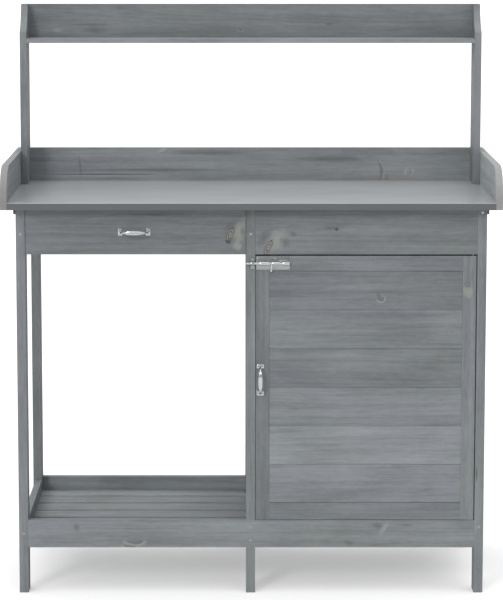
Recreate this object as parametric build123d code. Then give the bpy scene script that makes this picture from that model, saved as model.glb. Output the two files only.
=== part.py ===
"""Potting bench: slatted frame, drawer, cabinet door with barrel bolt, sheet-covered worktop and hutch.

Millimetres, +Z up. The front looks along -Y. The origin is on the floor, under the middle of the bench.
"""
from build123d import *
import os

# ---- overall sizes
bench_width = 1080.0
bench_depth = 465.0
worktop_height = 866.0
hutch_height = 1275.0

# ---- timber sections
leg_face = 20.0            # width of a leg or post seen from the front
leg_depth = 45.0           # depth of a leg or post from front to back
board = 15.0               # rails, fronts, guards, uprights and door frame
plank = 10.0               # tongued boards of the cabinet and the door
edge_ease = 0.7            # rounding along the long edges of a board
plank_vee = 1.0            # bevel beside each tongued joint
tongue_height = 4.0
tongue_play = 0.2          # all round a tongue in its groove
groove_depth = 6.0         # grooves in legs, posts and door frame
groove_play = 0.5          # end play of a board in its groove

# ---- frame layout
side_overhang = 31.0       # worktop beyond the legs, each side
front_overhang = 30.0      # worktop beyond the legs, in front
post_offset = -1.3         # middle of the centre posts, from the middle of the bench
foot_clear = 102.0         # floor to the underside of the lower rails
rail_height = 61.0         # lower rails
upper_rail_height = 75.0
apron_height = 100.0       # drawer front and cabinet apron, below the worktop
cleat_depth = 20.0
cleat_height = 18.0
cleat_reach = 9.0          # cleat ends beyond the legs
side_plank_count = 7
partition_plank_count = 7

# ---- slatted shelf
slat_count = 6
slat_gap = 8.0
slat_end_gap = 2.5         # between an outer slat and its rail
slat_thick = 15.0
ledger_size = 15.0
post_notch_play = 1.0

# ---- worktop, guards and hutch
worktop_thick = 15.0
sheet = 0.8
sheet_bend = 2.0           # outside radius of the front fold
guard_rise = 76.0          # guards above the worktop
guard_corner = 72.0        # radius of the side guards' front corner
upright_depth = 85.0
hutch_shelf_drop = 76.0    # top of the hutch to the top of its shelf
hutch_shelf_thick = 10.0
scoop_drop = 62.0          # height of the hollow cut at an upright's top front corner
scoop_back = 47.0          # depth of that cut at the very top
scoop_mid_drop = 39.0      # a point that the cut passes through, below the top
scoop_mid_back = 28.0

# ---- drawer
drawer_gap = 0.9           # beside the drawer front
drawer_top_gap = 1.5
drawer_side_gap = 2.0      # between the box and the frame
drawer_box_board = 12.0
drawer_box_height = 60.0
drawer_back_gap = 55.0     # between the box and the rear rails
drawer_bottom_thick = 4.0
drawer_bottom_rise = 5.0   # bottom panel above the lower edge of the sides
drawer_bottom_groove = 5.0
runner_width = 15.0
runner_height = 12.0
runner_rise = 4.0          # runner's underside above the drawer front's lower edge
runner_play = 0.3

# ---- door
door_latch_gap = 0.8
door_hinge_gap = 1.3
door_top_gap = 3.0
door_foot_gap = 1.0        # filled by the washer at the pivot
stile_width = 30.0
door_top_rail = 33.0
door_bottom_rail = 38.0
door_plank_count = 6
door_panel_recess = 1.0    # planks behind the face of the door frame
hinge_edge_radius = 3.0    # rounding that lets the hinge stile turn past the leg
pin_radius = 2.0
pin_inset = 7.5            # pivot from the hinge edge of the door
pin_setback = 6.0          # pivot behind the face of the door
pin_in_frame = 18.0
pin_in_door = 12.0
pin_play = 0.05
bush_wall = 2.0
bush_length = 13.0
washer_radius = 5.0
washer_play = 0.1

# ---- bow pulls
pull_length = 70.0
pull_flange = 10.0
pull_flange_width = 16.0
pull_metal = 1.5
pull_reach = 24.0
pull_shoulder = 8.0        # how far the bow leans inwards between flange and grip
pull_grip_width = 9.0
pull_grip_thick = 4.0
pull_screw_spacing = 9.0
drawer_pull_offset = -3.0  # from the middle of the drawer front
door_pull_inset = 10.3     # from the latch edge of the door
door_pull_rise = 20.0      # above the middle of the door

# ---- barrel bolt
bolt_plate_length = 73.0
bolt_plate_height = 29.5
bolt_metal = 1.2
bolt_plate_inset = 0.8     # from the latch edge of the door
bolt_plate_drop = 0.5      # below the top edge of the door
rod_radius = 2.9
rod_play = 0.35
rod_drop = 15.5            # rod's axis below the top edge of the plate
rod_reach = 21.2           # rod's tip beyond the plate
rod_tail = 4.0             # rod's end short of the plate's far end
first_strap = (7.6, 28.6)
slot_cover = (35.0, 51.5)  # upper half of the barrel, above the slot that the knob slides in
second_strap = (57.6, 72.0)
slot_clear = 0.3           # cover's edge above the rod's axis
knob_place = 32.6
knob_length = 18.0
knob_radius = 3.0
knob_stem_radius = 2.0
knob_height = 6.0
keeper_width = 8.0
keeper_height = 24.0
keeper_offset = 4.3        # middle of the keeper from the middle of the post

# ---- screws
frame_screw_radius = 1.8
frame_screw_head = 2.8
frame_screw_head_depth = 2.0
long_screw = 70.0
short_screw = 30.0
small_screw_radius = 1.3
small_screw_head = 2.2
small_screw_head_height = 1.0
small_screw_length = 10.0

# ---- places that several pieces share
front = -bench_depth / 2
rear = bench_depth / 2
frame_front = front + front_overhang
leg_outer = bench_width / 2 - side_overhang
leg_inner = leg_outer - leg_face
post_left = post_offset - leg_face / 2
post_right = post_offset + leg_face / 2
legs_back = frame_front + leg_depth         # back of the front legs
rear_legs_front = rear - leg_depth
rail_back = frame_front + board             # back of the front rail, apron, drawer front and door
rear_rail_front = rear - board
worktop_under = worktop_height - worktop_thick
rail_top = foot_clear + rail_height
apron_bottom = worktop_under - apron_height
upper_rail_top = worktop_under - cleat_height
upper_rail_bottom = upper_rail_top - upper_rail_height
guard_top = worktop_height + guard_rise
guard_inner = bench_width / 2 - board
ledger_top = foot_clear + ledger_size
slat_top = ledger_top + slat_thick
slat_space = rear_rail_front - rail_back - 2 * slat_end_gap
slat_width = (slat_space - (slat_count - 1) * slat_gap) / slat_count
side_plank_x = leg_inner + board / 2         # middle of a side rail
rear_plank_y = rear - board / 2

door_left = post_right + door_latch_gap
door_right = leg_inner - door_hinge_gap
door_bottom = rail_top + door_foot_gap
door_top = apron_bottom - door_top_gap
pivot_x = door_right - pin_inset
pivot_y = frame_front + pin_setback

drawer_left = -leg_inner + drawer_gap
drawer_right = post_left - drawer_gap
drawer_top = worktop_under - drawer_top_gap
runner_bottom = apron_bottom + runner_rise
runner_top = runner_bottom + runner_height
box_left = -leg_inner + drawer_side_gap
box_right = post_left - drawer_side_gap
box_bottom = runner_top + runner_play
box_top = box_bottom + drawer_box_height
box_back = rear_rail_front - drawer_back_gap

plate_left = door_left + bolt_plate_inset
plate_top = door_top - bolt_plate_drop
rod_z = plate_top - rod_drop
rod_y = frame_front - bolt_metal - rod_play - rod_radius
keeper_x = post_offset + keeper_offset


# how a cylinder stands on its own base
BASE = (Align.CENTER, Align.CENTER, Align.MIN)


# ---- general shapes
def board_between(x, y, z, ease=edge_ease):
    """A board between two X, two Y and two Z places, its long edges eased."""
    size = [x[1] - x[0], y[1] - y[0], z[1] - z[0]]
    solid = Pos(x[0], y[0], z[0]) * Box(*size, align=Align.MIN)
    if not ease:
        return solid
    long_axis = (Axis.X, Axis.Y, Axis.Z)[size.index(max(size))]
    return fillet(solid.edges().filter_by(long_axis), ease)


def plain_box(x, y, z):
    """A box with sharp edges, for grooves and notches."""
    return board_between(x, y, z, ease=0)


def plank_section(height, tongue_above, groove_below):
    """Section of a tongued board: thickness along X, height along Y, lower edge on the X axis."""
    tongue = plank / 3
    corners = Rectangle(plank, height, align=(Align.CENTER, Align.MIN))
    section = chamfer(corners.vertices(), plank_vee)
    if tongue_above:
        section += Pos(0, height) * Rectangle(tongue, tongue_height, align=(Align.CENTER, Align.MIN))
    if groove_below:
        slot_size = (tongue + 2 * tongue_play, tongue_height + tongue_play)
        section -= Rectangle(*slot_size, align=(Align.CENTER, Align.MIN))
    return section


def plank_stack(length, bottom, top, count):
    """Tongued boards lying along X from X=0, centred on Y=0, that fill bottom to top."""
    pitch = (top - bottom) / count
    stack = []
    for i in range(count):
        section = plank_section(pitch, tongue_above=i < count - 1, groove_below=i > 0)
        solid = extrude(Plane.YZ * section, length)
        stack.append(Pos(0, 0, bottom + i * pitch) * solid)
    return stack


def turned(solids, x, y, angle):
    """Solids turned about Z and moved to X, Y."""
    return [Pos(x, y, 0) * Rot(0, 0, angle) * solid for solid in solids]


def screw(point, inward, length, radius, head_radius, head_depth, sunk):
    """A screw along inward: a sunk head ends flush with point, another stands on it."""
    shank = Cylinder(radius, length, align=BASE)
    if sunk:
        head = Cone(head_radius, radius, head_depth, align=BASE)
    else:
        head = Cylinder(head_radius, head_depth, align=(Align.CENTER, Align.CENTER, Align.MAX))
    return Plane(origin=point, z_dir=inward) * (shank + head)


def frame_screw(point, inward, length):
    """A countersunk wood screw."""
    return screw(point, inward, length, frame_screw_radius, frame_screw_head, frame_screw_head_depth, True)


def small_screw(point, inward):
    """A pan-head screw that holds metalwork."""
    size = (small_screw_length, small_screw_radius, small_screw_head, small_screw_head_height)
    return screw(point, inward, *size, False)


def boxes_meet(a, b):
    """Whether the bounding boxes of two shapes meet."""
    one = a.bounding_box()
    two = b.bounding_box()
    pairs = zip(tuple(one.min), tuple(one.max), tuple(two.min), tuple(two.max))
    return all(low <= far and near <= high for low, high, near, far in pairs)


def bored(solid, screws):
    """A solid with a hole for each screw that reaches it."""
    for one in screws:
        if boxes_meet(solid, one):
            solid = solid - one
    return solid


# ---- frame
def leg(side, at_rear):
    """A leg on one side: side is -1 for left and 1 for right."""
    x = sorted((side * leg_inner, side * leg_outer))
    y = (rear_legs_front, rear) if at_rear else (frame_front, legs_back)
    return board_between(x, y, (0, worktop_under))


def plank_grooves():
    """Grooves in legs and posts for the ends of the cabinet's boards."""
    half = plank / 2 + tongue_play
    low = slat_top
    side = (side_plank_x - half, side_plank_x + half)
    middle = (post_offset - half, post_offset + half)
    back = (rear_plank_y - half, rear_plank_y + half)
    span_y = (legs_back - groove_depth, rear_legs_front + groove_depth)
    span_x = (post_right - groove_depth, leg_inner + groove_depth)
    return (
        plain_box(side, span_y, (rail_top, upper_rail_bottom)),
        plain_box(middle, span_y, (low, upper_rail_bottom)),
        plain_box(span_x, back, (rail_top, upper_rail_bottom)),
    )


def centre_post(at_rear):
    """A centre post, notched for the rails that cross it."""
    y = (rear_legs_front, rear) if at_rear else (frame_front, legs_back)
    solid = board_between((post_left, post_right), y, (0, worktop_under))
    solid -= cross_rail(at_rear, foot_clear, rail_top)
    if at_rear:
        solid -= cross_rail(at_rear, upper_rail_bottom, upper_rail_top)
    return solid


def cross_rail(at_rear, bottom, top, ease=0):
    """A rail between the left and right legs, flush with their faces."""
    y = (rear_rail_front, rear) if at_rear else (frame_front, rail_back)
    return board_between((-leg_inner, leg_inner), y, (bottom, top), ease)


def side_rail(side, bottom, top):
    """A rail between a front and a rear leg, flush with their inner faces."""
    x = sorted((side * leg_inner, side * (leg_inner + board)))
    return board_between(x, (legs_back, rear_legs_front), (bottom, top))


def partition_rail():
    """The rail above the partition's boards, flush with the posts' left faces."""
    x = (post_left, post_left + board)
    return board_between(x, (legs_back, rear_legs_front), (upper_rail_bottom, upper_rail_top))


def cleat(at_rear):
    """A bar under the worktop, against the inner faces of the legs."""
    y = (rear_legs_front - cleat_depth, rear_legs_front) if at_rear else (legs_back, legs_back + cleat_depth)
    reach = leg_outer + cleat_reach
    return board_between((-reach, reach), y, (upper_rail_top, worktop_under))


def ledgers():
    """Three bars that carry the slats: on both lower side rails and between the posts."""
    y = (legs_back, rear_legs_front)
    z = (foot_clear, ledger_top)
    left = board_between((-leg_inner, -leg_inner + ledger_size), y, z)
    right = board_between((leg_inner - ledger_size, leg_inner), y, z)
    middle = board_between((post_left, post_right), y, z)
    return [left, middle, right]


def slat(index, posts):
    """One slat of the lower shelf, notched where it meets a post."""
    low = rail_back + slat_end_gap + index * (slat_width + slat_gap)
    solid = board_between((-leg_inner, leg_inner), (low, low + slat_width), (ledger_top, slat_top))
    notch_x = (post_left - post_notch_play, post_right + post_notch_play)
    for post in posts:
        box = post.bounding_box()
        notch_y = (box.min.Y - post_notch_play, box.max.Y + post_notch_play)
        solid -= plain_box(notch_x, notch_y, (0, worktop_under))
    return solid


def runners():
    """Two strips that the drawer's sides run on."""
    z = (runner_bottom, runner_top)
    y = (legs_back, rear_legs_front)
    left = board_between((-leg_inner, -leg_inner + runner_width), y, z)
    right = board_between((post_left - runner_width, post_left), y, z)
    return [left, right]


def cabinet_boards():
    """The tongued boards of the cabinet: its right side, the partition and the back."""
    reach = groove_depth - groove_play
    along_y = rear_legs_front - legs_back + 2 * reach
    along_x = leg_inner - post_right + 2 * reach
    start_y = legs_back - reach
    side = plank_stack(along_y, rail_top, upper_rail_bottom, side_plank_count)
    partition = plank_stack(along_y, slat_top, upper_rail_bottom, partition_plank_count)
    back = plank_stack(along_x, rail_top, upper_rail_bottom, side_plank_count)
    return {
        "side_planks": turned(side, side_plank_x, start_y, 90),
        "partition_planks": turned(partition, post_offset, start_y, 90),
        "back_planks": turned(back, post_right - reach, rear_plank_y, 0),
    }


def frame_screws():
    """Countersunk screws of the legs, posts and hutch."""
    screws = []
    leg_middle = (leg_inner + leg_outer) / 2
    low = foot_clear + rail_height / 2
    high = (upper_rail_bottom + upper_rail_top) / 2
    cleat_z = (upper_rail_top + worktop_under) / 2
    heights = {-1: (low, high), 1: (low + board, cleat_z)}
    for side, places in heights.items():
        for z in places:
            screws.append(frame_screw((side * leg_middle, frame_front, z), (0, 1, 0), long_screw))
            screws.append(frame_screw((side * leg_middle, rear, z), (0, -1, 0), long_screw))
    for z in (low - board, low + board):
        screws.append(frame_screw((post_offset, frame_front, z), (0, 1, 0), short_screw))
        screws.append(frame_screw((post_offset, rear, z), (0, -1, 0), short_screw))
    screws.append(frame_screw((post_offset, frame_front, high), (0, 1, 0), long_screw))
    return screws + hutch_screws()


def hutch_screws():
    """Screws through the uprights into the shelf, and through the guards into the uprights."""
    screws = []
    shelf_z = hutch_height - hutch_shelf_drop - hutch_shelf_thick / 2
    middle = rear_rail_front - upright_depth / 2
    for side in (-1, 1):
        for y in (middle - upright_depth / 4, middle + upright_depth / 4):
            point = (side * guard_inner, y, shelf_z)
            screws.append(frame_screw(point, (-side, 0, 0), short_screw))
            point = (side * bench_width / 2, y, worktop_height + guard_rise / 2)
            screws.append(frame_screw(point, (-side, 0, 0), short_screw - frame_screw_head))
    return screws


# ---- worktop and hutch
def worktop_core():
    """The wooden panel under the sheet."""
    x = (-guard_inner, guard_inner)
    solid = plain_box(x, (front + sheet, rear_rail_front), (worktop_under, worktop_height - sheet))
    edge = solid.edges().filter_by(Axis.X).group_by(Axis.Z)[-1].sort_by(Axis.Y)[0]
    return fillet(edge, sheet_bend - sheet)


def worktop_sheet():
    """The metal sheet: flat over the panel and folded down over its front edge."""
    x = (-guard_inner, guard_inner)
    solid = plain_box(x, (front, rear_rail_front), (worktop_under, worktop_height))
    edge = solid.edges().filter_by(Axis.X).group_by(Axis.Z)[-1].sort_by(Axis.Y)[0]
    return fillet(edge, sheet_bend) - worktop_core()


def side_guard(side):
    """The board beside the worktop, its front corner rounded."""
    x = sorted((side * guard_inner, side * bench_width / 2))
    solid = plain_box(x, (front, rear), (worktop_under, guard_top))
    corner = solid.edges().filter_by(Axis.X).group_by(Axis.Z)[-1].sort_by(Axis.Y)[0]
    solid = fillet(corner, min(guard_corner, guard_top - worktop_under - edge_ease))
    return fillet(solid.faces().sort_by(Axis.Z)[-1].edges().filter_by(Axis.Y), edge_ease)


def upright(side):
    """The side of the hutch: a board with a hollow cut at its top front corner."""
    face = rear_rail_front - upright_depth
    with BuildLine() as outline:
        Line((face, worktop_height), (face, hutch_height - scoop_drop))
        middle = (face + scoop_mid_back, hutch_height - scoop_mid_drop)
        ThreePointArc((face, hutch_height - scoop_drop), middle, (face + scoop_back, hutch_height))
        Line((face + scoop_back, hutch_height), (rear_rail_front, hutch_height))
        Line((rear_rail_front, hutch_height), (rear_rail_front, worktop_height))
        Line((rear_rail_front, worktop_height), (face, worktop_height))
    section = Plane.YZ * make_face(outline.edges())
    start = guard_inner - board if side > 0 else -guard_inner
    solid = Pos(start, 0, 0) * extrude(section, board)
    corners = solid.edges().filter_by(Axis.Z).group_by(Axis.Y)[0]
    return fillet(corners, edge_ease)


# ---- drawer
def drawer_pieces():
    """The drawer's front and box, fitted between the left leg and the centre post."""
    y = (rail_back, box_back)
    z = (box_bottom, box_top)
    left_in = box_left + drawer_box_board
    right_in = box_right - drawer_box_board
    floor_low = box_bottom + drawer_bottom_rise
    floor_high = floor_low + drawer_bottom_thick
    groove = drawer_bottom_groove
    floor_x = (left_in - groove, right_in + groove)
    floor_y = (rail_back - groove, box_back)
    floor = plain_box(floor_x, floor_y, (floor_low, floor_high))
    width = (drawer_left, drawer_right)
    front_board = board_between(width, (frame_front, rail_back), (apron_bottom, drawer_top))
    back_y = (box_back - drawer_box_board, box_back)
    return {
        "drawer_front": front_board - floor,
        "drawer_side_left": board_between((box_left, left_in), y, z) - floor,
        "drawer_side_right": board_between((right_in, box_right), y, z) - floor,
        "drawer_back": board_between((left_in, right_in), back_y, (floor_high, box_top)),
        "drawer_bottom": floor,
    }


# ---- door
def door_planks():
    """The six tongued boards in the door frame."""
    reach = groove_depth - groove_play
    left = door_left + stile_width - reach
    length = door_right - door_left - 2 * stile_width + 2 * reach
    bottom = door_bottom + door_bottom_rail
    top = door_top - door_top_rail
    stack = plank_stack(length, bottom, top, door_plank_count)
    middle = frame_front + door_panel_recess + plank / 2
    return turned(stack, left, middle, 0)


def door_groove():
    """The groove round the door frame's opening, as one box across the panel."""
    half = plank / 2 + tongue_play
    middle = frame_front + door_panel_recess + plank / 2
    x = (door_left + stile_width - groove_depth, door_right - stile_width + groove_depth)
    z = (door_bottom + door_bottom_rail, door_top - door_top_rail)
    return plain_box(x, (middle - half, middle + half), z)


def stile(left, hinge):
    """An upright of the door frame; the hinge stile has a rounded outer edge and two bush holes."""
    x = (left, left + stile_width)
    solid = board_between(x, (frame_front, rail_back), (door_bottom, door_top), ease=0)
    corners = solid.edges().filter_by(Axis.Z).group_by(Axis.Y)[0].sort_by(Axis.X)
    solid = fillet(corners[-1], hinge_edge_radius if hinge else edge_ease)
    corners = solid.edges().filter_by(Axis.Z).group_by(Axis.Y)[0].sort_by(Axis.X)
    solid = fillet(corners[0], edge_ease) - door_groove()
    if hinge:
        for place in bush_places():
            solid -= place * Cylinder(pin_radius + bush_wall, bush_length, align=BASE)
    return solid


def door_rail(bottom, top):
    """A rail between the two stiles."""
    x = (door_left + stile_width, door_right - stile_width)
    return board_between(x, (frame_front, rail_back), (bottom, top)) - door_groove()


def bush_places():
    """Where the bushes start, at the lower and upper end of the hinge stile, looking into the door."""
    low = Pos(pivot_x, pivot_y, door_bottom)
    high = Pos(pivot_x, pivot_y, door_top) * Rot(180, 0, 0)
    return [low, high]


def door_bushes():
    """Plain sleeves in the hinge stile."""
    sleeve = Cylinder(pin_radius + bush_wall, bush_length, align=BASE)
    sleeve -= Cylinder(pin_radius + pin_play, bush_length, align=BASE)
    return [place * sleeve for place in bush_places()]


def pivot_pins():
    """Pins held in the lower rail and in the apron, the lower one with a washer under the door."""
    lower = Cylinder(pin_radius, pin_in_frame + door_foot_gap + pin_in_door, align=BASE)
    upper = Cylinder(pin_radius, pin_in_frame + door_top_gap + pin_in_door, align=BASE)
    washer = Cylinder(washer_radius, door_foot_gap - washer_play, align=BASE)
    lower += Pos(0, 0, pin_in_frame) * washer
    return [
        Pos(pivot_x, pivot_y, rail_top - pin_in_frame) * lower,
        Pos(pivot_x, pivot_y, door_top - pin_in_door) * upper,
    ]


# ---- metalwork
def bow_pull():
    """A bow pull that stands on the XY plane, its length along X."""
    half = pull_length / 2
    inner = half - pull_flange / 2
    top = pull_reach - pull_grip_thick / 2
    rise = inner - pull_shoulder
    points = [(-inner, 0, 0), (-rise, 0, top), (rise, 0, top), (inner, 0, 0)]
    path = FilletPolyline(*points, radius=pull_shoulder)
    section = Plane(origin=path @ 0, z_dir=path % 0) * Ellipse(pull_grip_thick / 2, pull_grip_width / 2)
    bow = sweep(section, path)
    under = (Align.CENTER, Align.CENTER, Align.MAX)
    bow -= Box(2 * pull_length, pull_flange_width, pull_grip_width, align=under)
    for side in (-1, 1):
        flange = Box(pull_flange, pull_flange_width, pull_metal, align=BASE)
        flange = fillet(flange.edges().filter_by(Axis.Z), pull_metal)
        bow += Pos(side * (half - pull_flange / 2), 0, 0) * flange
    return bow


def pull_screws():
    """Two screws in each flange of a bow pull that stands on the XY plane."""
    screws = []
    for x in (-(pull_length - pull_flange) / 2, (pull_length - pull_flange) / 2):
        for y in (-pull_screw_spacing / 2, pull_screw_spacing / 2):
            screws.append(small_screw((x, y, pull_metal), (0, 0, -1)))
    return screws


def strap(length):
    """A loop of sheet over the rod, along X from X=0, round the rod's axis, standing on the plate."""
    inner = rod_radius + rod_play
    outer = inner + bolt_metal
    foot = rod_play + rod_radius
    section = Circle(outer) + Pos(0, -foot / 2) * Rectangle(2 * outer, foot)
    section -= Circle(inner) + Pos(0, -foot / 2) * Rectangle(2 * inner, foot)
    section -= Pos(0, -foot) * Rectangle(4 * outer, 2 * outer, align=(Align.CENTER, Align.MAX))
    return extrude(Plane(origin=(0, 0, 0), x_dir=(0, 0, 1), z_dir=(1, 0, 0)) * section, length)


def bolt_plate():
    """The bolt's base plate with its two straps."""
    x = (plate_left, plate_left + bolt_plate_length)
    y = (frame_front - bolt_metal, frame_front)
    solid = plain_box(x, y, (plate_top - bolt_plate_height, plate_top))
    solid = fillet(solid.edges().filter_by(Axis.Y), bolt_metal)
    for start, end in (first_strap, second_strap):
        solid += Pos(plate_left + start, rod_y, rod_z) * strap(end - start)
    start, end = slot_cover
    under = (Align.CENTER, Align.CENTER, Align.MAX)
    below = Pos(0, 0, slot_clear) * Box(bench_width, leg_depth, leg_depth, align=under)
    return solid + Pos(plate_left + start, rod_y, rod_z) * (strap(end - start) - below)


def bolt_keeper():
    """The loop on the centre post that takes the rod."""
    x = (keeper_x - keeper_width / 2, keeper_x + keeper_width / 2)
    y = (frame_front - bolt_metal, frame_front)
    solid = plain_box(x, y, (rod_z - keeper_height / 2, rod_z + keeper_height / 2))
    solid = fillet(solid.edges().filter_by(Axis.Y), bolt_metal)
    return solid + Pos(x[0], rod_y, rod_z) * strap(keeper_width)


def bolt_rod():
    """The sliding rod with its knob hanging down."""
    tip = plate_left - rod_reach
    tail = plate_left + bolt_plate_length - rod_tail
    rod = Cylinder(rod_radius, tail - tip, align=BASE)
    rod = chamfer(rod.edges().filter_by(GeomType.CIRCLE), rod_play)
    rod = Pos(tip, rod_y, rod_z) * Rot(0, 90, 0) * rod
    knob = Cylinder(knob_radius, knob_height, align=BASE)
    knob = fillet(knob.edges().filter_by(GeomType.CIRCLE), knob_radius / 4)
    stem_length = knob_length - knob_height / 2
    stem = Pos(0, 0, knob_height / 2) * Cylinder(knob_stem_radius, stem_length, align=BASE)
    return rod + Pos(plate_left + knob_place, rod_y, rod_z - knob_length) * (knob + stem)


def plate_screws():
    """Four screws at the corners of the bolt plate, and two in the keeper."""
    on_door = []
    margin = 2 * small_screw_head
    y = frame_front - bolt_metal
    for x in (plate_left + margin - small_screw_radius, plate_left + bolt_plate_length / 2 + margin):
        for z in (plate_top - margin, plate_top - bolt_plate_height + margin):
            on_door.append(small_screw((x, y, z), (0, 1, 0)))
    ear = (keeper_height / 2 + rod_radius + rod_play + bolt_metal) / 2
    on_post = [small_screw((keeper_x, y, z), (0, 1, 0)) for z in (rod_z - ear, rod_z + ear)]
    return on_door, on_post


# ---- assembly
def bench_nodes(bench_screws):
    """Every piece that stays still."""
    left_front, right_front = leg(-1, False), leg(1, False)
    left_rear, right_rear = leg(-1, True), leg(1, True)
    post_front, post_rear = centre_post(False), centre_post(True)
    for groove in plank_grooves():
        right_front, right_rear = right_front - groove, right_rear - groove
        post_front, post_rear = post_front - groove, post_rear - groove
    pins = pivot_pins()
    nodes = {
        "leg_front_left": left_front,
        "leg_front_right": right_front,
        "leg_rear_left": left_rear,
        "leg_rear_right": right_rear,
        "post_front": post_front,
        "post_rear": post_rear,
        "rail_front_lower": cross_rail(False, foot_clear, rail_top) - pins[0],
        "rail_rear_lower": cross_rail(True, foot_clear, rail_top),
        "rail_rear_upper": cross_rail(True, upper_rail_bottom, upper_rail_top),
        "rail_left_lower": side_rail(-1, foot_clear, rail_top),
        "rail_right_lower": side_rail(1, foot_clear, rail_top),
        "rail_left_upper": side_rail(-1, upper_rail_bottom, upper_rail_top),
        "rail_right_upper": side_rail(1, upper_rail_bottom, upper_rail_top),
        "rail_partition_upper": partition_rail(),
        "slat_ledgers": ledgers(),
        "worktop_core": worktop_core(),
        "worktop_sheet": worktop_sheet(),
        "cleat_front": cleat(False),
        "cleat_rear": cleat(True),
        "side_guard_left": side_guard(-1),
        "side_guard_right": side_guard(1),
        "back_guard": back_guard(),
        "upright_left": upright(-1),
        "upright_right": upright(1),
        "hutch_shelf": hutch_board(hutch_height - hutch_shelf_drop - hutch_shelf_thick, False),
        "hutch_back": hutch_board(hutch_height - hutch_shelf_drop, True),
        "cabinet_apron": apron() - pins[1],
        "drawer_runners": runners(),
    }
    for i in range(slat_count):
        nodes[f"slat_{i + 1}"] = slat(i, (post_front, post_rear))
    nodes.update(cabinet_boards())
    nodes["bolt_keeper"] = bolt_keeper()
    nodes = {name: bored_node(piece, bench_screws) for name, piece in nodes.items()}
    nodes["pivot_pins"] = pins
    nodes["frame_screws"] = bench_screws
    return nodes


def back_guard():
    """The board behind the worktop."""
    return board_between((-guard_inner, guard_inner), (rear_rail_front, rear), (worktop_under, guard_top))


def hutch_board(bottom, is_back):
    """The hutch's shelf, or the board that stands behind it."""
    inner = guard_inner - board
    if is_back:
        y = (rear_rail_front - board, rear_rail_front)
        return board_between((-inner, inner), y, (bottom, hutch_height))
    y = (rear_rail_front - upright_depth, rear_rail_front)
    return board_between((-inner, inner), y, (bottom, bottom + hutch_shelf_thick))


def apron():
    """The fixed board above the door."""
    return board_between((post_right, leg_inner), (frame_front, rail_back), (apron_bottom, worktop_under))


def door_nodes(door_screws):
    """Every piece that swings with the door."""
    place = Pos(door_left + door_pull_inset, frame_front, (door_bottom + door_top) / 2 + door_pull_rise)
    handle_place = place * Rot(90, 0, 0) * Rot(0, 0, 90)
    screws = [handle_place * one for one in pull_screws()] + door_screws
    nodes = {
        "door_stile_latch": stile(door_left, False),
        "door_stile_hinge": stile(door_right - stile_width, True),
        "door_rail_top": door_rail(door_top - door_top_rail, door_top),
        "door_rail_bottom": door_rail(door_bottom, door_bottom + door_bottom_rail),
        "door_planks": door_planks(),
        "door_handle": handle_place * bow_pull(),
        "bolt_plate": bolt_plate(),
    }
    nodes = {name: bored_node(piece, screws) for name, piece in nodes.items()}
    nodes["door_bushes"] = door_bushes()
    nodes["door_screws"] = screws
    return nodes


def drawer_nodes():
    """Every piece that slides with the drawer."""
    middle = (drawer_left + drawer_right) / 2 + drawer_pull_offset
    place = Pos(middle, frame_front, (apron_bottom + drawer_top) / 2) * Rot(90, 0, 0)
    screws = [place * one for one in pull_screws()]
    nodes = drawer_pieces()
    nodes["drawer_handle"] = place * bow_pull()
    nodes = {name: bored_node(piece, screws) for name, piece in nodes.items()}
    nodes["drawer_screws"] = screws
    return nodes


def bored_node(piece, screws):
    """A piece, or a list of pieces, with its screw holes."""
    if isinstance(piece, list):
        return [bored(one, screws) for one in piece]
    return bored(piece, screws)


def main():
    on_door, on_post = plate_screws()
    nodes = bench_nodes(frame_screws() + on_post)
    nodes.update(drawer_nodes())
    nodes.update(door_nodes(on_door))
    nodes["bolt_rod"] = bolt_rod()
    os.makedirs("parts", exist_ok=True)
    for name, piece in nodes.items():
        shape = Compound(children=piece) if isinstance(piece, list) else piece
        export_step(shape, f"parts/{name}.step")
    print(len(nodes), "nodes")


main()
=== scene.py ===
"""Looks of a grey-stained potting bench: boards, sheeted worktop, metalwork, light and camera."""
import math
from contextlib import contextmanager

import bmesh
import bpy
from mathutils import Matrix, Vector


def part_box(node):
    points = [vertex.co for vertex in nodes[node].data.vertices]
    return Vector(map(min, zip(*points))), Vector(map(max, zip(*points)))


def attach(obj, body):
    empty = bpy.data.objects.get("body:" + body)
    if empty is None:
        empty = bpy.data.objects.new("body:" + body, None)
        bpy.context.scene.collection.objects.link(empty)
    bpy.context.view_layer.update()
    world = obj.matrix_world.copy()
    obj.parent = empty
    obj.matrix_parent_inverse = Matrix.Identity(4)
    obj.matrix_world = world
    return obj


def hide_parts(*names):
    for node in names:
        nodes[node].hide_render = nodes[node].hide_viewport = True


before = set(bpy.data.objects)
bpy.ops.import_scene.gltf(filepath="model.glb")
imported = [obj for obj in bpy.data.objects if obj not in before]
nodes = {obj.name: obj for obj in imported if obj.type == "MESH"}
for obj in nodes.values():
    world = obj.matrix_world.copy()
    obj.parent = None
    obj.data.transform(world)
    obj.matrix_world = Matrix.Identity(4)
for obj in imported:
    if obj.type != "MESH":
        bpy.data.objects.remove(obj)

bl_info = {
    "name": "Potting bench",
    "version": (1, 0, 0),
    "blender": (4, 5, 0),
    "location": "3D View > Sidebar > Potting bench",
    "description": "Stains the boards and builds the metalwork of a potting bench",
    "category": "Object",
}

MM = 0.001
TOUCH = 0.01 * MM          # nearer than this counts as the same place
KEY_WAY = Vector((0.50, 1.0, -0.55))     # the way the key light shines
KEY_SPREAD = math.radians(14)
SMOOTH_ANGLE = math.radians(35)

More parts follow.
